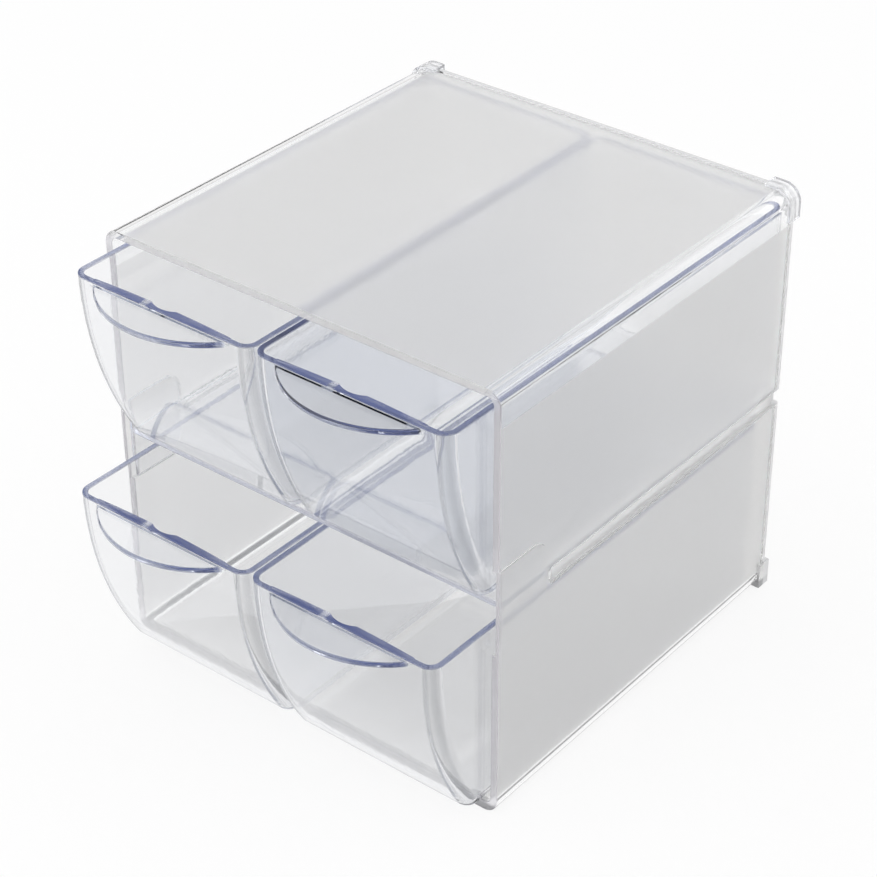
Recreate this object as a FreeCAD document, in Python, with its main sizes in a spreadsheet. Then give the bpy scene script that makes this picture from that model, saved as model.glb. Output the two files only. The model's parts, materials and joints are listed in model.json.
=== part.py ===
import FreeCAD, Part
import math
import os
import Sketcher

# Clear desk cube with four drawers. Millimetres, +X right, +Y from the front to the back, +Z up.
# The origin is the centre of the underside of the housing.

DIMENSIONS = [
    # Housing
    ("housing_width", 152.4),
    ("housing_depth", 152.4),
    ("housing_height", 152.4),
    ("wall", 2.5),
    ("base_thickness", 3.0),
    ("side_draft", 0.9),
    ("corner_radius", 5.0),
    ("back_edge_radius", 1.5),
    # Seat of the shelf's ears, sunk into the inner face of each side wall
    ("recess_depth", 1.3),
    ("recess_length", 24.0),
    ("recess_height", 30.4),
    ("recess_radius", 7.0),
    # Outer groove of each side wall, its open back end, and the ledge inside
    ("groove_start", 25.6),
    ("groove_height", 5.4),
    ("groove_depth", 1.3),
    ("notch_length", 3.2),
    ("notch_depth", 2.3),
    ("ledge_width", 2.2),
    ("ledge_height", 3.2),
    # Feet at the two back corners
    ("foot_length", 5.2),
    ("foot_width", 5.0),
    ("foot_height", 9.5),
    ("foot_proud", 0.6),
    # Shelf
    ("shelf_thickness", 2.0),
    ("shelf_setback", 2.0),
    ("shelf_edge_radius", 0.8),
    ("fit_gap", 0.3),
    # Drawers
    ("running_gap", 0.35),
    ("drawer_headroom", 3.75),
    ("drawer_wall", 1.8),
    ("drawer_overhang", 18.4),
    ("drawer_front_radius", 125.0),
    ("drawer_corner_radius", 5.0),
    ("lower_pull", 7.0),
    # Pull tab, rim bead and thumb notch of a drawer front
    ("tab_reach", 12.0),
    ("tab_radius", 36.0),
    ("tab_thickness", 2.0),
    ("tab_drop", 0.8),
    ("tab_edge", 0.5),
    ("bead_reach", 1.2),
    ("bead_end", 0.3),
    ("bead_height", 2.0),
    ("thumb_radius", 9.0),
    ("thumb_wall", 1.4),
    # Corner clips
    ("clip_length", 5.4),
    ("clip_top_arm", 9.0),
    ("clip_side_arm", 10.1),
    ("clip_thickness", 1.1),
    ("clip_gap", 0.06),
    ("clip_edge", 0.4),
    # Overrun of the cuts
    ("overrun", 5.0),
]

# Points closer than this are one point
SAME_POINT = 0.001


def inner_half(along):
    """Half the housing's inside width at a distance behind its front plane."""
    return f"({INNER_HALF} - side_draft * ({along}) / housing_depth)"


def outer_half(along):
    """Half the housing's outside width at a distance behind its front plane."""
    return f"(housing_width / 2 - side_draft * ({along}) / housing_depth)"


# Formulas of the sheet's names that several pieces share
INNER_HALF = "housing_width / 2 - wall"
BACK_INSIDE = "housing_depth - wall"
MID_HEIGHT = "housing_height / 2"
SHELF_TOP = "base_thickness + housing_height / 2"
SHELF_BOTTOM = "base_thickness + housing_height / 2 - shelf_thickness"
DRAWER_HEIGHT = "(housing_height / 2 - base_thickness - wall - running_gap - drawer_headroom)"
DRAWER_BACK = "housing_depth - wall - running_gap"
DRAWER_OUTSIDE = f"({inner_half(DRAWER_BACK)} - running_gap)"
TAB_HALF = "sqrt(tab_radius^2 - (tab_radius - tab_reach - drawer_wall / 2)^2)"

doc = FreeCAD.newDocument("desk_cube")


def fill_sheet():
    """Write the driving dimensions, one row each, and give each value its name."""
    cells = doc.addObject("Spreadsheet::Sheet", "dims")
    for row, (alias, value) in enumerate(DIMENSIONS, start=1):
        cells.set(f"A{row}", alias)
        cells.set(f"B{row}", str(value))
        cells.setAlias(f"B{row}", alias)
    doc.recompute()
    return cells


sheet = fill_sheet()
names = {alias for alias, _ in DIMENSIONS}


def bound(formula):
    """The formula with each of the sheet's names as a reference to its cell."""
    out = ""
    word = ""
    for letter in formula + " ":
        if letter.isalnum() or letter == "_":
            word += letter
            continue
        out += f"dims.{word}" if word in names else word
        out += letter
        word = ""
    return out.strip()


def size(formula):
    """The present value of a formula."""
    return float(sheet.evalExpression(bound(formula)))


def new_body(name, back="0", up="0"):
    """An empty body that starts at the housing's front plane, moved back and up."""
    body = doc.addObject("PartDesign::Body", name)
    body.Label = name
    body.setExpression(".Placement.Base.y", bound(f"{back} - housing_depth / 2"))
    body.setExpression(".Placement.Base.z", bound(up))
    return body


def origin_plane(body, role):
    """One of the origin planes of a body."""
    return next(item for item in body.Origin.OriginFeatures if item.Role == role)


def arc_between(start, end, radius, turn):
    """The arc of a radius from start to end, anticlockwise for a turn of 1, clockwise for -1."""
    chord = end - start
    left = FreeCAD.Vector(-chord.y, chord.x, 0).normalize()
    reach = math.sqrt(radius ** 2 - (chord.Length / 2) ** 2)
    centre = (start + end) * 0.5 + left * (turn * reach)
    first, last = (start, end) if turn > 0 else (end, start)
    circle = Part.Circle(centre, FreeCAD.Vector(0, 0, 1), radius)
    angles = [math.atan2(point.y - centre.y, point.x - centre.x) for point in (first, last)]
    return Part.ArcOfCircle(circle, angles[0], angles[1])


def draw(body, role, name, points, arcs=None, level="0"):
    """A closed sketch on an origin plane, raised along the plane's normal.

    Each point is a pair of formulas. For a stretch that is an arc, arcs holds the radius and
    the turn, under the number of the point where the stretch starts.
    """
    arcs = arcs or {}
    sketch = body.newObject("Sketcher::SketchObject", name)
    sketch.AttachmentSupport = [(origin_plane(body, role), "")]
    sketch.MapMode = "FlatFace"
    sketch.setExpression(".AttachmentOffset.Base.z", bound(level))
    corners = [FreeCAD.Vector(size(across), size(along), 0) for across, along in points]
    ends = []
    for index, corner in enumerate(corners):
        following = corners[(index + 1) % len(corners)]
        radius, turn = arcs.get(index, (None, 1))
        if radius:
            sketch.addGeometry(arc_between(corner, following, size(radius), turn), False)
        else:
            sketch.addGeometry(Part.LineSegment(corner, following), False)
        ends.append((1, 2) if turn > 0 else (2, 1))
    for index, (across, along) in enumerate(points):
        following = (index + 1) % len(points)
        join = Sketcher.Constraint("Coincident", index, ends[index][1], following, ends[following][0])
        sketch.addConstraint(join)
        hold(sketch, Sketcher.Constraint("DistanceX", -1, 1, index, ends[index][0], size(across)), across)
        hold(sketch, Sketcher.Constraint("DistanceY", -1, 1, index, ends[index][0], size(along)), along)
    for index, (radius, _) in arcs.items():
        hold(sketch, Sketcher.Constraint("Radius", index, size(radius)), radius)
    return sketch


def hold(sketch, constraint, formula):
    """Add a constraint whose value follows a formula."""
    number = sketch.addConstraint(constraint)
    sketch.setExpression(f"Constraints[{number}]", bound(formula))


def pad(body, name, sketch, length, against=False):
    """Add material from a sketch, along its normal or against it."""
    feature = body.newObject("PartDesign::Pad", name)
    feature.Profile = sketch
    feature.setExpression("Length", bound(length))
    feature.Reversed = against
    doc.recompute()
    return feature


def pocket(body, name, sketch, length):
    """Cut a sketch out of the body, against the sketch's normal."""
    before = body.Shape.Volume
    feature = body.newObject("PartDesign::Pocket", name)
    feature.Profile = sketch
    feature.setExpression("Length", bound(length))
    doc.recompute()
    if not body.Shape.Volume < before:
        raise RuntimeError(f"{name} cut nothing")
    return feature


def dress_edges(body, kind, name, value, chosen):
    """Set a Fillet's Radius or a Chamfer's Size on the edges of the last feature that a test chooses."""
    last = body.Tip
    edges = [f"Edge{number}" for number, edge in enumerate(last.Shape.Edges, start=1) if chosen(edge)]
    if not edges:
        raise RuntimeError(f"{name} found no edge")
    feature = body.newObject(f"PartDesign::{kind}", name)
    feature.Base = (last, edges)
    feature.setExpression({"Fillet": "Radius", "Chamfer": "Size"}[kind], bound(value))
    doc.recompute()


def fillet(body, name, radius, chosen):
    """Round the edges that a test chooses."""
    dress_edges(body, "Fillet", name, radius, chosen)


def chamfer(body, name, width, chosen):
    """Bevel the edges that a test chooses."""
    dress_edges(body, "Chamfer", name, width, chosen)


def mirror(body, name, features):
    """Repeat features on the other side of the middle plane."""
    feature = body.newObject("PartDesign::Mirrored", name)
    feature.Originals = features
    feature.MirrorPlane = (origin_plane(body, "YZ_Plane"), [""])
    body.Tip = feature
    doc.recompute()
    return feature


def lies_at(shape, axis, value):
    """Whether a whole edge or face lies at one value along an axis, given as X, Y or Z."""
    box = shape.BoundBox
    spread = [abs(getattr(box, axis + end) - value) for end in ("Min", "Max")]
    return max(spread) < SAME_POINT


def runs_along(edge, axis):
    """Whether an edge is longest along an axis, given as X, Y or Z."""
    box = edge.BoundBox
    lengths = {"X": box.XLength, "Y": box.YLength, "Z": box.ZLength}
    return max(lengths, key=lengths.get) == axis


def trapezoid(front, front_half, back, back_half):
    """The plan of a piece that is symmetric and narrows from the front to the back."""
    return [
        (f"-{front_half}", front),
        (front_half, front),
        (back_half, back),
        (f"-{back_half}", back),
    ]


def build_housing():
    """The shell, open at the front, with the feet, recesses, ledges, grooves and notches."""
    body = new_body("housing")
    plan = draw(body, "XY_Plane", "shell_plan",
                trapezoid("0", outer_half("0"), "housing_depth", outer_half("housing_depth")))
    pad(body, "shell", plan, "housing_height")
    fillet(body, "long_edges", "corner_radius", lambda edge: runs_along(edge, "Y"))
    back = size("housing_depth")
    fillet(body, "back_edges", "back_edge_radius", lambda edge: lies_at(edge, "Y", back))
    add_feet(body)
    hollow_shell(body)
    add_side_details(body)
    return body


def add_feet(body):
    """A square foot at each back corner, where the draft has drawn the shell in."""
    plan = draw(body, "XY_Plane", "foot_plan", [
        ("housing_width / 2 - foot_width", "housing_depth - foot_length"),
        ("housing_width / 2", "housing_depth - foot_length"),
        ("housing_width / 2", "housing_depth + foot_proud"),
        ("housing_width / 2 - foot_width", "housing_depth + foot_proud"),
    ])
    foot = pad(body, "foot", plan, "foot_height")
    mirror(body, "feet", [foot])


def hollow_shell(body):
    """The one hollow that the shelf divides, with its long corners rounded."""
    plan = draw(body, "XY_Plane", "hollow_plan",
                trapezoid("-overrun", inner_half("-overrun"), BACK_INSIDE, inner_half(BACK_INSIDE)),
                level="housing_height - wall")
    pocket(body, "hollow", plan, "housing_height - wall - base_thickness")
    floor = size("base_thickness")
    ceiling = size("housing_height - wall")
    fillet(body, "inner_edges", "corner_radius - wall",
           lambda edge: runs_along(edge, "Y") and edge.BoundBox.YMin < SAME_POINT
           and (lies_at(edge, "Z", floor) or lies_at(edge, "Z", ceiling)))


def add_side_details(body):
    """Recess, ledge, groove and notch of the right wall, then the same on the left."""
    low = f"{MID_HEIGHT} - recess_height / 2"
    high = f"{MID_HEIGHT} + recess_height / 2"
    outline = draw(body, "YZ_Plane", "recess_outline", [
        ("-overrun", low),
        ("recess_length - recess_radius", low),
        ("recess_length", f"{low} + recess_radius"),
        ("recess_length", f"{high} - recess_radius"),
        ("recess_length - recess_radius", high),
        ("-overrun", high),
    ], arcs={1: ("recess_radius", 1), 3: ("recess_radius", 1)}, level=f"{INNER_HALF} + recess_depth")
    recess = pocket(body, "recess", outline, "recess_depth + wall")

    ledge_end = f"{BACK_INSIDE} + wall / 2"
    plan = draw(body, "XY_Plane", "ledge_plan", [
        (f"{inner_half('groove_start')} - ledge_width", "groove_start"),
        (f"{inner_half('groove_start')} + wall / 2", "groove_start"),
        (f"{inner_half(ledge_end)} + wall / 2", ledge_end),
        (f"{inner_half(ledge_end)} - ledge_width", ledge_end),
    ], level=f"{SHELF_BOTTOM} - ledge_height")
    ledge = pad(body, "ledge", plan, "ledge_height")

    beyond = "housing_depth + overrun"
    plan = draw(body, "XY_Plane", "groove_plan", [
        (f"{outer_half('groove_start')} - groove_depth", "groove_start"),
        ("housing_width / 2 + overrun", "groove_start"),
        ("housing_width / 2 + overrun", beyond),
        (f"{outer_half(beyond)} - groove_depth", beyond),
    ], level=f"{MID_HEIGHT} + groove_height / 2")
    groove = pocket(body, "groove", plan, "groove_height")

    plan = draw(body, "XY_Plane", "notch_plan", [
        (f"{outer_half('housing_depth')} - notch_depth", "housing_depth - notch_length"),
        ("housing_width / 2 + overrun", "housing_depth - notch_length"),
        ("housing_width / 2 + overrun", beyond),
        (f"{outer_half('housing_depth')} - notch_depth", beyond),
    ], level=f"{MID_HEIGHT} + groove_height / 2")
    notch = pocket(body, "notch", plan, "groove_height")
    mirror(body, "left_side", [recess, ledge, groove, notch])


def build_shelf():
    """The panel between the tiers. Its wider front ends in two ears that fill the recesses."""
    body = new_body("mid_shelf")
    front_half = f"({INNER_HALF} + recess_depth - fit_gap)"
    step = "recess_length - fit_gap"
    back = f"{BACK_INSIDE} - fit_gap"
    right = [
        (front_half, "shelf_setback"),
        (front_half, step),
        (f"({inner_half(step)} - fit_gap)", step),
        (f"({inner_half(back)} - fit_gap)", back),
    ]
    left = [(f"-{across}", along) for across, along in reversed(right)]
    plan = draw(body, "XY_Plane", "panel_plan", right + left, level=SHELF_BOTTOM)
    pad(body, "panel", plan, "shelf_thickness")
    front = size("shelf_setback")
    fillet(body, "front_edges", "shelf_edge_radius",
           lambda edge: runs_along(edge, "X") and lies_at(edge, "Y", front))

    low = f"{MID_HEIGHT} - recess_height / 2 + fit_gap"
    high = f"{MID_HEIGHT} + recess_height / 2 - fit_gap"
    radius = "recess_radius - fit_gap"
    outline = draw(body, "YZ_Plane", "ear_outline", [
        ("shelf_setback", low),
        (f"{step} - ({radius})", low),
        (step, f"{low} + {radius}"),
        (step, f"{high} - ({radius})"),
        (f"{step} - ({radius})", high),
        ("shelf_setback", high),
    ], arcs={1: (radius, 1), 3: (radius, 1)}, level=INNER_HALF)
    ear = pad(body, "ear", outline, "recess_depth - fit_gap")
    mirror(body, "left_ear", [ear])
    return body


def build_drawer(name, side, pull, up):
    """A drawer: a rounded form with a curved front, hollowed from above, with its tab and bead."""
    body = new_body(name, f"-{pull}", up)
    drawer_form(body, side, "0", DRAWER_HEIGHT)
    inside = doc.addObject("PartDesign::Body", f"{name}_inside")
    drawer_form(inside, side, "drawer_wall", f"{DRAWER_HEIGHT} + overrun")
    hollow = body.newObject("PartDesign::Boolean", "hollow")
    hollow.Type = "Cut"
    hollow.setObjects([inside])
    doc.recompute()
    add_rim(body, side)
    return body


def drawer_form(body, side, inset, top):
    """The drawer's form, drawn in by an inset: an upright block, cut to the front's curve and rounded."""
    ahead = "-(drawer_overhang + 2 * overrun)"
    near = f"{side} * (running_gap + {inset})"
    far = f"{side} * ({DRAWER_OUTSIDE} - {inset})"
    back = f"{DRAWER_BACK} - {inset}"
    corners = [(near, ahead), (far, ahead), (far, back), (near, back)]
    plan = draw(body, "XY_Plane", "plan", corners, level=inset)
    pad(body, "block", plan, f"{top} - {inset}")

    rim = f"-drawer_overhang + {inset}"
    radius = f"(drawer_front_radius - {inset})"
    foot = f"-drawer_overhang + drawer_front_radius - sqrt({radius}^2 - ({DRAWER_HEIGHT} - {inset})^2)"
    outline = draw(body, "YZ_Plane", "front_outline", [
        (rim, f"{top} + overrun"),
        (f"{ahead} - overrun", f"{top} + overrun"),
        (f"{ahead} - overrun", "-overrun"),
        (foot, "-overrun"),
        (foot, inset),
        (rim, DRAWER_HEIGHT),
    ], arcs={4: (radius, -1)}, level=f"({INNER_HALF}) * {max(side, 0)} + overrun")
    pocket(body, "front_curve", outline, f"{INNER_HALF} + 2 * overrun")
    fillet(body, "corners", f"drawer_corner_radius - {inset}",
           lambda edge: runs_along(edge, "Z") or lies_at(edge, "Z", size(inset)))


def add_rim(body, side):
    """The half-moon pull tab, the bead behind the rim and the thumb notch in the bead."""
    centre = f"{side} * (running_gap + {DRAWER_OUTSIDE}) / 2"
    left = f"{centre} - {TAB_HALF}"
    right = f"{centre} + {TAB_HALF}"
    chord = "-drawer_overhang + drawer_wall / 2"
    plan = draw(body, "XY_Plane", "tab_plan", [(left, chord), (right, chord)],
                arcs={0: ("tab_radius", 1)}, level=f"{DRAWER_HEIGHT} - tab_drop - tab_thickness")
    pad(body, "tab", plan, "tab_thickness")
    chamfer(body, "tab_edges", "tab_edge",
            lambda edge: edge.BoundBox.YMin < -size("drawer_overhang + tab_thickness"))

    lip = "-drawer_overhang + drawer_wall + bead_end"
    rise = "(bead_reach - bead_end)"
    corners = [(right, chord), (right, lip), (left, lip), (left, chord)]
    plan = draw(body, "XY_Plane", "bead_plan", corners,
                arcs={1: (f"({TAB_HALF}^2 + {rise}^2) / (2 * {rise})", 1)},
                level=f"{DRAWER_HEIGHT} - bead_height")
    pad(body, "bead", plan, "bead_height")

    depth = "(drawer_wall + 2 * bead_reach - thumb_wall)"
    half = f"sqrt(thumb_radius^2 - (thumb_radius - {depth})^2)"
    inside = f"-drawer_overhang + thumb_wall + {depth}"
    corners = [(f"{centre} - {half}", inside), (f"{centre} + {half}", inside)]
    plan = draw(body, "XY_Plane", "thumb_plan", corners,
                arcs={0: ("thumb_radius", 1)}, level=DRAWER_HEIGHT)
    pocket(body, "thumb_notch", plan, "bead_height")


def build_clip(name, side):
    """A clip over a top back corner: an arm on the top, one down the side, and a back flange."""
    body = new_body(name)
    front = "(housing_depth - clip_length)"
    near = f"({outer_half(front)} + clip_gap)"
    low = "housing_height - clip_side_arm"
    high = "housing_height + clip_thickness"
    start = f"{side} * ({near} - clip_top_arm)"
    bend = f"{side} * ({near} - corner_radius)"
    outer_corner = "corner_radius + clip_thickness"
    band = draw(body, "XZ_Plane", "band_outline", [
        (start, "housing_height"),
        (bend, "housing_height"),
        (f"{side} * {near}", "housing_height - corner_radius"),
        (f"{side} * {near}", low),
        (f"{side} * ({near} + clip_thickness)", low),
        (f"{side} * ({near} + clip_thickness)", "housing_height - corner_radius"),
        (bend, high),
        (start, high),
    ], arcs={1: ("corner_radius", -side), 5: (outer_corner, side)}, level=f"-{front}")
    pad(body, "band", band, "clip_length + clip_thickness", against=True)

    flange = draw(body, "XZ_Plane", "flange_outline", [
        (start, "housing_height - corner_radius"),
        (bend, "housing_height - corner_radius"),
        (bend, low),
        (f"{side} * ({near} + clip_thickness)", low),
        (f"{side} * ({near} + clip_thickness)", "housing_height - corner_radius"),
        (bend, high),
        (start, high),
    ], arcs={4: (outer_corner, side)}, level="-housing_depth")
    pad(body, "flange", flange, "clip_thickness", against=True)
    rear = size("housing_depth + clip_thickness")
    chamfer(body, "rear_edges", "clip_edge", lambda edge: lies_at(edge, "Y", rear))
    return body


def build_all():
    """Every piece of the cube, by its node's name."""
    lower = "base_thickness + running_gap"
    upper = f"{SHELF_TOP} + running_gap"
    return [
        build_housing(),
        build_shelf(),
        build_drawer("upper_left_drawer", -1, "0", upper),
        build_drawer("upper_right_drawer", 1, "0", upper),
        build_drawer("lower_left_drawer", -1, "lower_pull", lower),
        build_drawer("lower_right_drawer", 1, "lower_pull", lower),
        build_clip("rear_left_clip", -1),
        build_clip("rear_right_clip", 1),
    ]


def check_model(bodies):
    """Stop if any object failed or any piece isn't one valid solid."""
    for item in doc.Objects:
        if {"Invalid", "Error"} & set(item.State):
            raise RuntimeError(f"{item.Name} failed: {item.State}")
    for body in bodies:
        if body.Shape.isNull() or not body.Shape.isValid() or len(body.Shape.Solids) != 1:
            raise RuntimeError(f"{body.Label} is not one valid solid")


pieces = build_all()
doc.recompute()
check_model(pieces)
os.makedirs("parts", exist_ok=True)
for piece in pieces:
    piece.Shape.exportStep(f"parts/{piece.Label}.step")
    box = piece.Shape.BoundBox
    print(piece.Label, round(piece.Shape.Volume), [round(v, 2) for v in (
        box.XMin, box.XMax, box.YMin, box.YMax, box.ZMin, box.ZMax)])
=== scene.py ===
import functools
import json
import math

import bmesh
import bpy
from mathutils import Matrix, Vector

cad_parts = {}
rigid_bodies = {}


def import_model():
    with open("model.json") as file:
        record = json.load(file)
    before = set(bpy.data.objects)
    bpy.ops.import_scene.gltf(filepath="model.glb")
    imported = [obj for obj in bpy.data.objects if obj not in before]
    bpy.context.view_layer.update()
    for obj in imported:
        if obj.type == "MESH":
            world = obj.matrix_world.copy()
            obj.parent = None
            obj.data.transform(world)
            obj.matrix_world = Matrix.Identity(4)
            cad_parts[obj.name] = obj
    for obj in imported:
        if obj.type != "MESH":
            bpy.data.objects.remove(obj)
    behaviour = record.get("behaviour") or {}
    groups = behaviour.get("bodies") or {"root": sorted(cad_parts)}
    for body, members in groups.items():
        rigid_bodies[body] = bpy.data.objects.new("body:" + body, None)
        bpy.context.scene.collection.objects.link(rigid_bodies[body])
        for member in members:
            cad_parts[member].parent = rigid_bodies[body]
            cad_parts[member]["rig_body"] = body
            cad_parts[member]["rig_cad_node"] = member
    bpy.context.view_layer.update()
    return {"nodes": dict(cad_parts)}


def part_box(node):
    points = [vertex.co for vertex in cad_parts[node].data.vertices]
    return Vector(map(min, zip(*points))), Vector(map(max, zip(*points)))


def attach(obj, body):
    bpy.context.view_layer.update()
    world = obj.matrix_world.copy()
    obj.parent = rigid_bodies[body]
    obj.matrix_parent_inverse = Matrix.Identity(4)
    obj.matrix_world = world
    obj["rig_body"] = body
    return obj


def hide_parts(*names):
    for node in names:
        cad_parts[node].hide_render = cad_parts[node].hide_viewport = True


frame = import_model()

bl_info = {
    "name": "Clear desk cube",
    "version": (1, 0, 0),
    "blender": (4, 5, 0),
    "location": "3D View > Sidebar > Desk cube",
    "description": "Finishes the clear desk cube and its four drawers, and sets their stage",
    "category": "Object",
}

DRAWERS = ("upper_left_drawer", "upper_right_drawer", "lower_left_drawer", "lower_right_drawer")
CLIPS = ("rear_left_clip", "rear_right_clip")

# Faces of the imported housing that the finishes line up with
HOUSING_LOW, HOUSING_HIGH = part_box("housing")

# Features of the housing, in metres. Near and far are depths in the side wall: those of the groove are measured
# from its outer face, and those of the seat from its inner face.
GROOVE_NEAR = 0.0009
GROOVE_FAR = 0.0026
GROOVE_HALF = 0.0031
SEAT_NEAR = 0.0007
SEAT_FAR = 0.0019
SEAT_HALF = 0.0153
SEAT_LENGTH = 0.0245
FOOT_HEIGHT = 0.0092
FOOT_LENGTH = 0.0049
FOOT_FROST = 0.8

# How far the frost of a side wall reaches on both sides of its inner face, and its gap to the back's, in metres
FROST_IN = 0.0016
FROST_OUT = 0.0006
FROST_GAP = 0.002

# Bands along the housing's edges, in metres: the front and lowest ones and the shelf's front carry painted
# shade, the rear ones a pale grey finish of their own
FRONT_BAND = 0.0005
FRONT_DEPTH = 0.002
TOP_BAND = 0.0022
LOW_BAND = 0.0031
LOW_SIDE = 0.0032
REAR_BAND = 0.0026
REAR_SIDE = 0.0035
REAR_TOP = 0.003
SHELF_BAND = 0.0009

# Features of a drawer, in metres. The lean is how far the painted lines of shade move in for each metre down.
FRONT_RADIUS = 0.125
TAB_RADIUS = 0.036
TAB_REACH = 0.012
TAB_HALF = 0.0276
NOTCH_HALF = 0.006
CORNER_WIDTH = 0.0024
CORNER_DEPTH = 0.0032
LINE_INSET = 0.0034
LINE_LEAN = 0.02
LINE_HALF = 0.0007
LINE_DEPTH = 0.001
LINE_HEIGHT = 0.0012
RIM_HEIGHT = 0.0005
TAB_EDGE = 0.0006

# Strength of the blue-violet painted shade, for light caught in the plastic over a part of real tint: in the
# front of the rim, what the bead adds, in the sides, in the tab, and what is left out where light breaks
# through beside the notch
RIM_FRONT = 0.62
RIM_BEAD = 0.32
RIM_SIDE = 0.26
TAB_SHADE = 0.3
LIGHT_BREAK = 0.65

# Waves to the metre in the noises, and the directions in which streaks are drawn out
GRAIN_WAVES = 2600.0
CLOUD_WAVES = 45.0
SWELL_WAVES = 38.0
SCUFF_WAVES = 420.0
MILK_WAVES = 300.0
ALONG_X = (0.1, 1.0, 1.0)
ALONG_Y = (1.0, 0.06, 1.0)
ALONG_Z = (1.0, 1.0, 0.1)
ALONG_RING = (1.0, 1.0, 1.0)

# Widths of the ramps at the ends of a finish, in metres
SHARP = 0.0003
CRISP = 0.0004
SOFT = 0.0006
WIDE = 0.001

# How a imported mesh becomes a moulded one
MERGE_DISTANCE = 0.000002
FLAT_ANGLE = math.radians(0.2)
OUTER_ANGLE = math.radians(34)
SMOOTH_ANGLE = math.radians(50)

# What is left of the light that leaves the plastic after its last turn inside, and how many turns that takes
CAUGHT_LIGHT = (0.92, 0.925, 0.935)
LAST_REFLECTION = 3.5
LAST_TURN = 8.5

# Name, place, width and power setting of each lamp
LAMPS = (
    ("key_lamp", (-0.75, -0.65, 0.95), 1.7, "key"),
    ("fill_lamp", (0.95, -0.35, 0.65), 1.1, "fill"),
    ("rim_lamp", (0.62, 0.76, 0.70), 0.9, "rim"),
)

# The camera, fitted to the corners of the cube in the photograph
CAMERA_PLACE = (0.41880, -0.52531, 0.51239)
CAMERA_HEADING = math.radians(39.067)
CAMERA_TILT = math.radians(56.476)
CAMERA_ROLL = math.radians(-0.293)
CAMERA_LENS = 101.25
CAMERA_SENSOR = 36.0


def colour_field(name, description, default):
    """A colour in a property group."""
    return bpy.props.FloatVectorProperty(
        name=name, description=description, default=default, min=0.0, max=1.0, size=3, subtype="COLOR")


def share_field(name, description, default):
    """A number from 0 to 1 in a property group."""
    return bpy.props.FloatProperty(
        name=name, description=description, default=default, min=0.0, max=1.0, subtype="FACTOR")


def length_field(name, description, default):
    """A length in a property group, in metres."""
    return bpy.props.FloatProperty(
        name=name, description=description, default=default, min=0.0, precision=5, unit="LENGTH")


def power_field(name, description, default):
    """The power of a lamp in a property group."""
    return bpy.props.FloatProperty(name=name, description=description, default=default, min=0.0, unit="POWER")


class CubeSizes(bpy.types.PropertyGroup):
    """Sizes of the edges and of the frosted areas."""

    edge_round: length_field("Edge rounding", "Radius left on the moulded edges that stand outwards", 0.0003)
    wall: length_field("Housing wall", "Thickness of the housing's walls", 0.0025)
    frost_top_half: length_field("Frost on the top", "Half the width of the frost under the top", 0.0695)
    frost_low: length_field("Lower end of the frost", "Height at which the frost of the sides starts", 0.006)
    frost_high: length_field("Upper end of the frost", "Height at which the frost of the sides ends", 0.140)


class CubeFinish(bpy.types.PropertyGroup):
    """Colours and gloss of the plastic, and the colours of the shade painted on it."""

    clear: colour_field("Clear plastic", "Tint of the clear pieces", (0.993, 0.993, 0.992))
    frosted: colour_field("Frosted plastic", "Tint of the frosted walls", (0.982, 0.980, 0.977))
    depth_colour: colour_field(
        "Depth colour", "What is left of white in thick places of the clear plastic", (0.30, 0.38, 0.60))
    depth: bpy.props.FloatProperty(
        name="Depth", description="How fast the depth colour gathers, per metre", default=16.0, min=0.0)
    bending: bpy.props.FloatProperty(
        name="Index of refraction", description="How strongly the plastic bends light",
        default=1.57, min=1.0, max=2.0)
    frost: share_field("Frost", "Roughness of the frosted faces", 0.42)
    haze: share_field("Haze", "Share of the light that the frosted faces scatter", 0.22)
    haze_colour: colour_field("Haze colour", "Colour of the scattered light", (0.80, 0.795, 0.785))
    milk: colour_field("Milk", "Colour of the faint milkiness of the clips", (0.86, 0.86, 0.87))
    # Painted shade: the blue-violet of rims and tabs stands in for light caught in the plastic, over a part of
    # real tint
    edge: colour_field("Edges", "Blue-violet that gathers in rims and tabs", (0.065, 0.09, 0.24))
    # Painted shade in pale grey-lilac on the front edges of housing and shelf, with its strength in the top's
    # front edge and in the others
    cut: colour_field("Cut edges", "Pale colour of the front edges of housing and shelf", (0.60, 0.58, 0.63))
    painted_top_front_shade: share_field("Top front edge", "How strongly the cut colour shows in the top's front edge", 0.12)
    painted_side_front_shade: share_field("Other front edges", "What is added to that in the other front edges", 0.4)
    # Painted shade in grey on the housing's lowest edges
    painted_low_shade: colour_field("Low edges", "Grey of the housing's lowest edges", (0.23, 0.23, 0.24))
    painted_low_share: share_field("Low edge strength", "How strongly the grey shows in the lowest edges", 0.8)
    rear_edge: colour_field("Rear edges", "Grey of the housing's rear edges", (0.74, 0.74, 0.75))
    rear_share: share_field("Rear edge strength", "How strongly the grey shows in the rear edges", 0.75)
    # Painted shade in grey on a drawer's upright corners
    painted_corner_shade: colour_field("Drawer corners", "Grey of a drawer's upright corners", (0.72, 0.725, 0.735))
    # Painted shade in thin grey lines on a drawer's front and along its foot
    line: colour_field("Drawer lines", "Grey of the thin lines on a drawer's front", (0.30, 0.31, 0.34))
    painted_line_share: share_field("Drawer line strength", "How strongly the thin lines show", 0.4)


class CubeStage(bpy.types.PropertyGroup):
    """Floor, lamps and surroundings."""

    floor: colour_field("Floor", "Colour of the floor", (0.9, 0.9, 0.9))
    floor_glow: share_field("Floor's white", "Share of plain white that the camera sees in the floor", 0.84)
    floor_mirrored: share_field("Floor's white in plastic", "The same, as seen in and through plastic", 0.88)
    key: power_field("Key lamp", "Power of the large lamp at the front left", 8.5)
    fill: power_field("Fill lamp", "Power of the lamp at the right", 2.0)
    rim: power_field("Rim lamp", "Power of the lamp behind, which lights the long edges", 2.2)
    around: bpy.props.FloatProperty(
        name="Surroundings", description="Brightness of the light from all round", default=0.76, min=0.0)
    studio_low: share_field("Low studio", "Brightness low down, as seen in and through plastic", 0.61)


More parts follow.
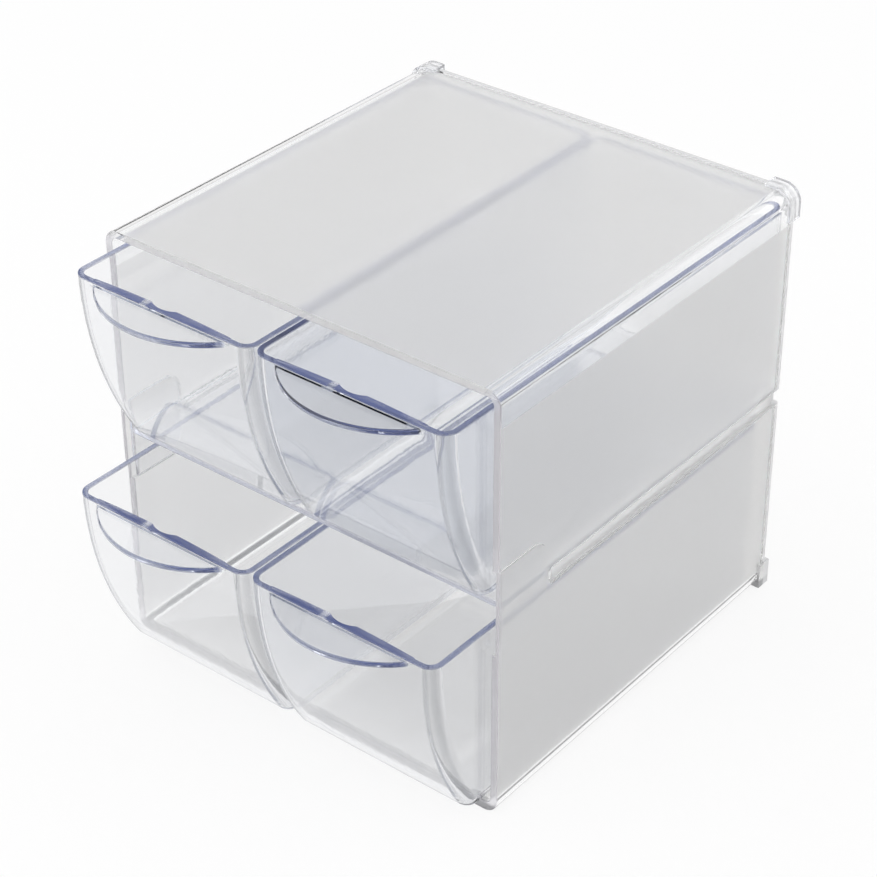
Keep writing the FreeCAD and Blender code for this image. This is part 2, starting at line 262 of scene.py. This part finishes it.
class Wire:
    """An output socket that takes part in Python sums, which add Math nodes."""

    def __init__(self, board, socket):
        self.board = board
        self.socket = socket

    def math(self, operation, *values, clamp=False):
        """This value, and others, through one Math node."""
        settings = {"operation": operation, "use_clamp": clamp}
        return self.board.add("ShaderNodeMath", settings, dict(enumerate((self, *values))))

    def __add__(self, other):
        return self.math("ADD", other)

    def __sub__(self, other):
        return self.math("SUBTRACT", other)

    def __rsub__(self, other):
        return self.board.add("ShaderNodeMath", {"operation": "SUBTRACT"}, {0: other, 1: self})

    def __mul__(self, other):
        return self.math("MULTIPLY", other)

    def __truediv__(self, other):
        return self.math("DIVIDE", other)

    def __rtruediv__(self, other):
        return self.board.add("ShaderNodeMath", {"operation": "DIVIDE"}, {0: other, 1: self})

    def __abs__(self):
        return self.math("ABSOLUTE")

    def __and__(self, other):
        return self.math("MINIMUM", other)

    def __or__(self, other):
        return self.math("MAXIMUM", other)

    __radd__ = __add__
    __rmul__ = __mul__

    def over(self, edge, soft):
        """0 below an edge and 1 above it, with a ramp as wide as soft between them."""
        return ((self - edge) / soft + 0.5).math("ADD", 0.0, clamp=True)

    def under(self, edge, soft):
        """1 below an edge and 0 above it, with a ramp as wide as soft between them."""
        return 1 - self.over(edge, soft)


class Board:
    """The nodes of one material, or of the surroundings."""

    def __init__(self, owner):
        owner.use_nodes = True
        self.owner = owner
        self.tree = owner.node_tree
        self.tree.nodes.clear()
        self.body = None

    def add(self, kind, settings=None, sockets=None, output=0):
        """One node with its settings and with values or wires on its sockets."""
        node = self.tree.nodes.new(kind)
        for key, value in (settings or {}).items():
            setattr(node, key, value)
        for key, value in (sockets or {}).items():
            if isinstance(value, Wire):
                self.tree.links.new(value.socket, node.inputs[key])
            else:
                node.inputs[key].default_value = value
        return Wire(self, node.outputs[output])

    def place(self):
        """The object's own coordinates, as a vector and as three values."""
        vector = self.add("ShaderNodeTexCoord", output="Object")
        parts = self.add("ShaderNodeSeparateXYZ", {}, {0: vector})
        return (vector, *(Wire(self, parts.socket.node.outputs[axis]) for axis in "XYZ"))

    def noise(self, vector, scale, detail):
        """A noise between 0 and 1, with scale in waves to the metre."""
        return self.add("ShaderNodeTexNoise", {}, {"Vector": vector, "Scale": scale, "Detail": detail})

    def streaks(self, vector, stretch, scale):
        """A noise drawn out along one axis, with more contrast than a plain one."""
        drawn = self.add("ShaderNodeMapping", {}, {"Vector": vector, "Scale": stretch})
        return ((self.noise(drawn, scale, 3.0) - 0.5) * 2.4 + 0.5).math("ADD", 0.0, clamp=True)

    def blend(self, share, first, second):
        """A colour between two colours."""
        return self.add("ShaderNodeMix", {"data_type": "RGBA"},
                        {0: share, 6: (*first, 1.0), 7: (*second, 1.0)}, output=2)

    def bump(self, height, distance, strength):
        """A normal from a height."""
        return self.add("ShaderNodeBump", {}, {"Strength": strength, "Distance": distance, "Height": height})

    def matt(self, colour, roughness=0.4):
        """A shader that stops light, in one colour."""
        sockets = {"Base Color": (*colour, 1.0), "Roughness": roughness}
        return self.add("ShaderNodeBsdfPrincipled", {}, sockets)

    def see_through(self, colour, roughness, bending, normal):
        """A shader that bends light and lets it through."""
        return self.add("ShaderNodeBsdfPrincipled", {}, {
            "Base Color": colour, "Roughness": roughness, "IOR": bending,
            "Transmission Weight": 1.0, "Normal": normal})

    def mix(self, share, first, second):
        """A shader between two shaders."""
        return self.add("ShaderNodeMixShader", {}, {0: share, 1: first, 2: second})

    def finish(self, shader, shadow):
        """Let out the light that stays caught in the plastic, let the lamps through, and show the result."""
        reflections = self.add("ShaderNodeLightPath", output="Glossy Depth")
        turns = self.add("ShaderNodeLightPath", output="Ray Depth")
        way_out = self.add("ShaderNodeBsdfTransparent", {}, {"Color": (*CAUGHT_LIGHT, 1.0)})
        last = reflections.over(LAST_REFLECTION, 1.0) | turns.over(LAST_TURN, 1.0)
        path = self.add("ShaderNodeLightPath", output="Is Shadow Ray")
        gap = self.add("ShaderNodeBsdfTransparent", {}, {"Color": (*shadow, 1.0)})
        return self.show(self.mix(path, self.mix(last, shader, way_out), gap))

    def show(self, shader, kind="ShaderNodeOutputMaterial"):
        """Put a shader on the output, and hand back what it belongs to."""
        node = self.tree.nodes.new(kind)
        self.tree.links.new(shader.socket, node.inputs["Surface"])
        if self.body:
            self.tree.links.new(self.body.socket, node.inputs["Volume"])
        return self.owner


def new_board(name):
    """The board of a new material."""
    return Board(bpy.data.materials.new(name))


def frosted_areas(side, y, z, sizes):
    """Where the housing is frosted: inside its walls, and in its grooves, seats and feet."""
    front, back = HOUSING_LOW.y, -HOUSING_LOW.y
    inner = HOUSING_HIGH.x - sizes.wall
    in_height = z.over(sizes.frost_low, SOFT) & z.under(sizes.frost_high, SOFT)
    under_top = (z.over(HOUSING_HIGH.z - 1.4 * sizes.wall, SOFT)
                 & z.under(HOUSING_HIGH.z - 0.5 * sizes.wall, SOFT)
                 & side.under(sizes.frost_top_half, SOFT))
    on_side = side.over(inner - FROST_IN, SOFT) & side.under(inner + FROST_OUT, SOFT) & in_height
    on_back = (y.over(back - 1.5 * sizes.wall, SOFT) & y.under(back - 0.5 * sizes.wall, SOFT)
               & side.under(inner - FROST_GAP, SOFT) & in_height)
    middle = abs(z - (HOUSING_LOW.z + HOUSING_HIGH.z) / 2)
    in_groove = (side.under(HOUSING_HIGH.x - GROOVE_NEAR, SHARP)
                 & side.over(HOUSING_HIGH.x - GROOVE_FAR, SHARP) & middle.under(GROOVE_HALF, CRISP))
    in_seat = (side.over(inner + SEAT_NEAR, SHARP) & side.under(inner + SEAT_FAR, SHARP)
               & middle.under(SEAT_HALF, SOFT) & y.under(front + SEAT_LENGTH, SOFT))
    on_foot = z.under(HOUSING_LOW.z + FOOT_HEIGHT, SOFT) & y.over(back - FOOT_LENGTH, SOFT)
    areas = under_top | on_side | on_back | in_groove | in_seat | on_foot * FOOT_FROST
    return areas & y.over(front + CRISP, CRISP)


def frosted_plastic(name, sizes, finish):
    """The housing: glossy outside, frosted inside, with pale rear edges, and painted shade: pale on its front
    edges and grey on its low ones.
    """
    board = new_board(name)
    vector, x, y, z = board.place()
    side = abs(x)
    front, back = HOUSING_LOW.y, -HOUSING_LOW.y
    frost = frosted_areas(side, y, z, sizes)
    grain = board.noise(vector, GRAIN_WAVES, 3.0)
    cloud = board.noise(vector, CLOUD_WAVES, 2.0)
    rough = 0.03 + 0.02 * cloud + frost * (finish.frost + 0.08 * grain - 0.03)
    colour = board.blend(frost, finish.clear, finish.frosted)
    normal = board.bump(cloud + 0.25 * frost * grain, 0.00025, 0.35)
    shader = board.see_through(colour, rough, finish.bending, normal)
    shader = board.mix(frost * finish.haze, shader, board.matt(finish.haze_colour, 0.5))

    # Painted shade in pale grey-lilac on the front edges, stronger below the top, in streaks
    streak = board.streaks(vector, ALONG_Z, 500.0)
    below_top = z.under(HOUSING_HIGH.z - TOP_BAND, 0.002)
    on_front = y.under(front + FRONT_BAND, SHARP) * (finish.painted_top_front_shade + finish.painted_side_front_shade * below_top)
    shader = board.mix(on_front * (0.9 + 0.2 * streak), shader, board.matt(finish.cut))

    # Painted shade in dark grey on the lowest edges, at the sides and the front
    outside = side.over(HOUSING_HIGH.x - LOW_SIDE, WIDE) | y.under(front + FRONT_DEPTH, WIDE)
    on_bottom = z.under(HOUSING_LOW.z + LOW_BAND, 0.0012) & outside
    shader = board.mix(on_bottom * finish.painted_low_share, shader, board.matt(finish.painted_low_shade))

    at_rim = side.over(HOUSING_HIGH.x - REAR_SIDE, WIDE) | z.over(HOUSING_HIGH.z - REAR_TOP, WIDE)
    on_rear = y.over(back - REAR_BAND, 0.0008) & at_rim
    shader = board.mix(on_rear * finish.rear_share, shader, board.matt(finish.rear_edge))
    return board.finish(shader, finish.frosted)


def clear_body(board, vector, finish, colour=None):
    """The clear plastic itself, with the faint swell and scuffs of a moulding."""
    swell = board.noise(vector, SWELL_WAVES, 2.0)
    scuff = board.noise(vector, SCUFF_WAVES, 4.0)
    board.body = board.add("ShaderNodeVolumeAbsorption", {}, {
        "Color": (*finish.depth_colour, 1.0), "Density": finish.depth})
    return board.see_through(colour or (*finish.clear, 1.0), 0.012 + 0.02 * scuff, finish.bending,
                             board.bump(swell + 0.1 * scuff, 0.0003, 0.3))


def clip_plastic(name, finish):
    """The clips: clear, with a faint milkiness."""
    board = new_board(name)
    vector, *_ = board.place()
    milk = 0.06 + 0.14 * board.noise(vector, MILK_WAVES, 2.0)
    shader = board.mix(milk, clear_body(board, vector, finish), board.matt(finish.milk))
    return board.finish(shader, finish.clear)


def shelf_plastic(name, finish, low):
    """The shelf: clear, with painted shade, pale grey-lilac, on its front edge."""
    board = new_board(name)
    vector, _, y, _ = board.place()
    # Painted shade on the front edge, in streaks
    cut = y.under(low.y + SHELF_BAND, CRISP)
    streak = board.streaks(vector, ALONG_X, 600.0)
    shader = board.mix(cut * (0.2 + 0.2 * streak), clear_body(board, vector, finish), board.matt(finish.cut))
    return board.finish(shader, finish.clear)


def edge_shade(board, vector, across, y, z, low, high):
    """How much painted blue-violet shade shows in a drawer's rim and at the edge of its tab."""
    front = low.y + TAB_REACH
    at_bead = abs(across).under(TAB_HALF - 0.004, 0.012)
    light_gap = 1 - LIGHT_BREAK * abs(across + NOTCH_HALF).under(0.0011, 0.0012)
    front_streak = board.streaks(vector, ALONG_X, 900.0)
    side_streak = board.streaks(vector, ALONG_Y, 1300.0)
    front_rim = (RIM_FRONT + RIM_BEAD * at_bead) * light_gap * (0.82 + 0.3 * front_streak)
    side_rim = RIM_SIDE + 0.42 * side_streak
    at_front = y.under(front + 0.005, 0.008)
    rim = z.over(high.z - RIM_HEIGHT, SHARP) * (side_rim + at_front * (front_rim - side_rim))

    along = y - (low.y + TAB_RADIUS)
    radius = (across * across + along * along).math("SQRT")
    ring = board.add("ShaderNodeCombineXYZ", {}, {0: radius, 1: across * 0.05, 2: z})
    ring_streak = board.streaks(ring, ALONG_RING, 1500.0)
    tab = radius.over(TAB_RADIUS - TAB_EDGE, SHARP) & y.under(front - 0.0005, SOFT)
    # The tab's painted shade fades out towards its left end, as if lit from there
    return rim | tab * across.over(-0.004, 0.04) * (TAB_SHADE + 0.6 * ring_streak)


def drawer_plastic(name, finish, low, high):
    """A drawer: clear, with painted shade: blue-violet in its rim and tab, and grey in its upright corners and
    its foot.
    """
    board = new_board(name)
    vector, x, y, z = board.place()
    across = x - (low.x + high.x) / 2
    half = (high.x - low.x) / 2
    behind = y - (low.y + TAB_REACH + FRONT_RADIUS)
    below = z - high.z
    swing = (behind * behind + below * below).math("SQRT")
    # Painted shade: a grey tint in the rounded upright corners of the front
    painted_corner_shade = swing.over(FRONT_RADIUS - CORNER_DEPTH, WIDE) & abs(across).over(half - CORNER_WIDTH, 0.0012)
    colour = board.blend(painted_corner_shade, finish.clear, finish.painted_corner_shade)
    shader = clear_body(board, vector, finish, colour)

    # Painted shade: thin grey upright lines near each side of the front, and one along the foot
    upright = abs(abs(across) - (half - LINE_INSET) - LINE_LEAN * below).under(LINE_HALF, SOFT)
    line = swing.over(FRONT_RADIUS - LINE_DEPTH, CRISP) & (upright | z.under(low.z + LINE_HEIGHT, SOFT))
    shader = board.mix(line * finish.painted_line_share, shader, board.matt(finish.line))

    # Painted shade: blue-violet over the rim and the tab's edge
    shade = edge_shade(board, vector, across, y, z, low, high)
    shader = board.mix(shade, shader, board.matt(finish.edge))
    return board.finish(shader, finish.clear)


def choose_only(piece):
    """Make a piece the one selected and active object."""
    bpy.ops.object.select_all(action="DESELECT")
    piece.select_set(True)
    bpy.context.view_layer.objects.active = piece


def choose_outer_edges(piece):
    """Select the sharp edges that stand outwards, in edit mode. The inner corners stay as they are."""
    bpy.ops.mesh.select_mode(type="EDGE")
    bpy.ops.mesh.select_all(action="DESELECT")
    mesh = bmesh.from_edit_mesh(piece.data)
    for edge in mesh.edges:
        edge.select_set(edge.calc_face_angle_signed() > OUTER_ANGLE)
    bmesh.update_edit_mesh(piece.data)


def moulded_copy(node_name, piece_name, edge_round):
    """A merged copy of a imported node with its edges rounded, as a mould leaves them."""
    choose_only(frame["nodes"][node_name])
    bpy.ops.object.duplicate()
    piece = bpy.context.view_layer.objects.active
    piece.name = piece.data.name = piece_name
    body = piece["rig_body"]
    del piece["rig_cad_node"]
    piece.data.materials.clear()
    bpy.ops.mesh.customdata_custom_splitnormals_clear()
    bpy.ops.object.mode_set(mode="EDIT")
    bpy.ops.mesh.select_all(action="SELECT")
    bpy.ops.mesh.remove_doubles(threshold=MERGE_DISTANCE)
    bpy.ops.mesh.dissolve_limited(angle_limit=FLAT_ANGLE, delimit={"NORMAL"})
    choose_outer_edges(piece)
    bpy.ops.mesh.bevel(offset=edge_round, segments=2, affect="EDGES")
    bpy.ops.object.mode_set(mode="OBJECT")
    bpy.ops.object.shade_smooth_by_angle(angle=SMOOTH_ANGLE)
    flat = piece.modifiers.new("flat", "WEIGHTED_NORMAL")
    flat.keep_sharp = True
    bpy.ops.object.modifier_apply(modifier="flat")
    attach(piece, body)
    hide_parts(node_name)
    return piece


class CUBE_OT_housing(bpy.types.Operator):
    """Make the frosted housing"""

    bl_idname = "cube.housing"
    bl_label = "Housing"

    def execute(self, context):
        scene = context.scene
        piece = moulded_copy("housing", "frosted_housing", scene.cube_sizes.edge_round)
        piece.data.materials.append(frosted_plastic("frosted housing", scene.cube_sizes, scene.cube_finish))
        return {"FINISHED"}


class CUBE_OT_shelf(bpy.types.Operator):
    """Make the clear shelf between the tiers"""

    bl_idname = "cube.shelf"
    bl_label = "Shelf"

    def execute(self, context):
        scene = context.scene
        piece = moulded_copy("mid_shelf", "clear_shelf", scene.cube_sizes.edge_round)
        low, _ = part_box("mid_shelf")
        piece.data.materials.append(shelf_plastic("clear shelf", scene.cube_finish, low))
        return {"FINISHED"}


class CUBE_OT_drawers(bpy.types.Operator):
    """Make the four clear drawers"""

    bl_idname = "cube.drawers"
    bl_label = "Drawers"

    def execute(self, context):
        scene = context.scene
        for node in DRAWERS:
            piece = moulded_copy(node, f"clear_{node}", scene.cube_sizes.edge_round * 2 / 3)
            low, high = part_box(node)
            piece.data.materials.append(drawer_plastic(f"clear {node}", scene.cube_finish, low, high))
        return {"FINISHED"}


class CUBE_OT_clips(bpy.types.Operator):
    """Make the clear corner clips"""

    bl_idname = "cube.clips"
    bl_label = "Clips"

    def execute(self, context):
        scene = context.scene
        for node in CLIPS:
            piece = moulded_copy(node, f"clear_{node}", scene.cube_sizes.edge_round / 2)
            piece.data.materials.append(clip_plastic(f"clear {node}", scene.cube_finish))
        return {"FINISHED"}


class CUBE_OT_stage(bpy.types.Operator):
    """Lay the pale floor and set the lamps, the surroundings and the camera"""

    bl_idname = "cube.stage"
    bl_label = "Stage"

    def execute(self, context):
        settings = context.scene.cube_stage
        add_floor(settings)
        add_surroundings(context.scene, settings)
        for name, place, width, power in LAMPS:
            add_lamp(name, place, width, getattr(settings, power))
        add_camera(context.scene)
        return {"FINISHED"}


def rays(board, *kinds):
    """1 on the rays of the given kinds."""
    seen = [board.add("ShaderNodeLightPath", output=f"Is {kind} Ray") for kind in kinds]
    return functools.reduce(Wire.__or__, seen)


def add_floor(settings):
    """A wide pale floor that looks white and keeps the cube's shadow."""
    bpy.ops.object.select_all(action="DESELECT")
    bpy.ops.mesh.primitive_plane_add(size=6.0)
    floor = bpy.context.view_layer.objects.active
    floor.name = floor.data.name = "floor"
    board = new_board("pale floor")
    paint = board.add("ShaderNodeBsdfDiffuse", {}, {"Color": (*settings.floor, 1.0)})
    glow = board.add("ShaderNodeEmission", {}, {"Color": (1.0, 1.0, 1.0, 1.0), "Strength": 1.0})
    in_plastic = rays(board, "Glossy", "Transmission")
    share = rays(board, "Camera") * settings.floor_glow | in_plastic * settings.floor_mirrored
    floor.data.materials.append(board.show(board.mix(share, paint, glow)))


def add_surroundings(scene, settings):
    """Even light from all round: white to the camera, and greyer low down in and through plastic."""
    board = Board(bpy.data.worlds.new("surroundings"))
    *_, up = board.place()
    studio = settings.studio_low + (1 - settings.studio_low) * up.over(0.3, 0.6)
    seen = rays(board, "Glossy", "Transmission")
    strength = (settings.around + (studio - settings.around) * seen) | rays(board, "Camera")
    light = board.add("ShaderNodeBackground", {}, {"Color": (1.0, 1.0, 1.0, 1.0), "Strength": strength})
    scene.world = board.show(light, "ShaderNodeOutputWorld")


def add_lamp(name, place, width, power):
    """A square lamp that faces the middle of the cube and isn't seen itself."""
    bpy.ops.object.select_all(action="DESELECT")
    bpy.ops.object.light_add(type="AREA", location=place)
    lamp = bpy.context.view_layer.objects.active
    lamp.name = lamp.data.name = name
    lamp.data.size = width
    lamp.data.energy = power
    lamp.visible_camera = False
    aim = Vector((0, 0, HOUSING_HIGH.z / 2)) - Vector(place)
    lamp.rotation_euler = aim.to_track_quat("-Z", "Y").to_euler()


def add_camera(scene):
    """The photograph's camera."""
    bpy.ops.object.camera_add(location=CAMERA_PLACE)
    camera = bpy.context.view_layer.objects.active
    camera.name = camera.data.name = "camera"
    turn = (Matrix.Rotation(CAMERA_HEADING, 4, "Z") @ Matrix.Rotation(CAMERA_TILT, 4, "X")
            @ Matrix.Rotation(CAMERA_ROLL, 4, "Z"))
    camera.rotation_euler = turn.to_euler()
    camera.data.lens = CAMERA_LENS
    camera.data.sensor_width = CAMERA_SENSOR
    camera.data.clip_start = 0.01
    camera.data.clip_end = 50.0
    scene.camera = camera
    scene.view_settings.view_transform = "Standard"


class CUBE_PT_panel(bpy.types.Panel):
    """The pieces of the cube and its stage"""

    bl_idname = "CUBE_PT_panel"
    bl_label = "Desk cube"
    bl_space_type = "VIEW_3D"
    bl_region_type = "UI"
    bl_category = "Desk cube"

    def draw(self, context):
        for operator in OPERATORS:
            self.layout.operator(operator.bl_idname)


GROUPS = {"cube_sizes": CubeSizes, "cube_finish": CubeFinish, "cube_stage": CubeStage}
OPERATORS = (CUBE_OT_housing, CUBE_OT_shelf, CUBE_OT_drawers, CUBE_OT_clips, CUBE_OT_stage)


def register():
    for cls in (*GROUPS.values(), *OPERATORS, CUBE_PT_panel):
        bpy.utils.register_class(cls)
    for name, group in GROUPS.items():
        setattr(bpy.types.Scene, name, bpy.props.PointerProperty(type=group))


def unregister():
    for name in GROUPS:
        delattr(bpy.types.Scene, name)
    for cls in reversed((*GROUPS.values(), *OPERATORS, CUBE_PT_panel)):
        bpy.utils.unregister_class(cls)


def main():
    """Make every piece and the stage."""
    register()
    bpy.ops.cube.stage()
    bpy.ops.cube.housing()
    bpy.ops.cube.shelf()
    bpy.ops.cube.drawers()
    bpy.ops.cube.clips()


if __name__ == "__main__":
    main()
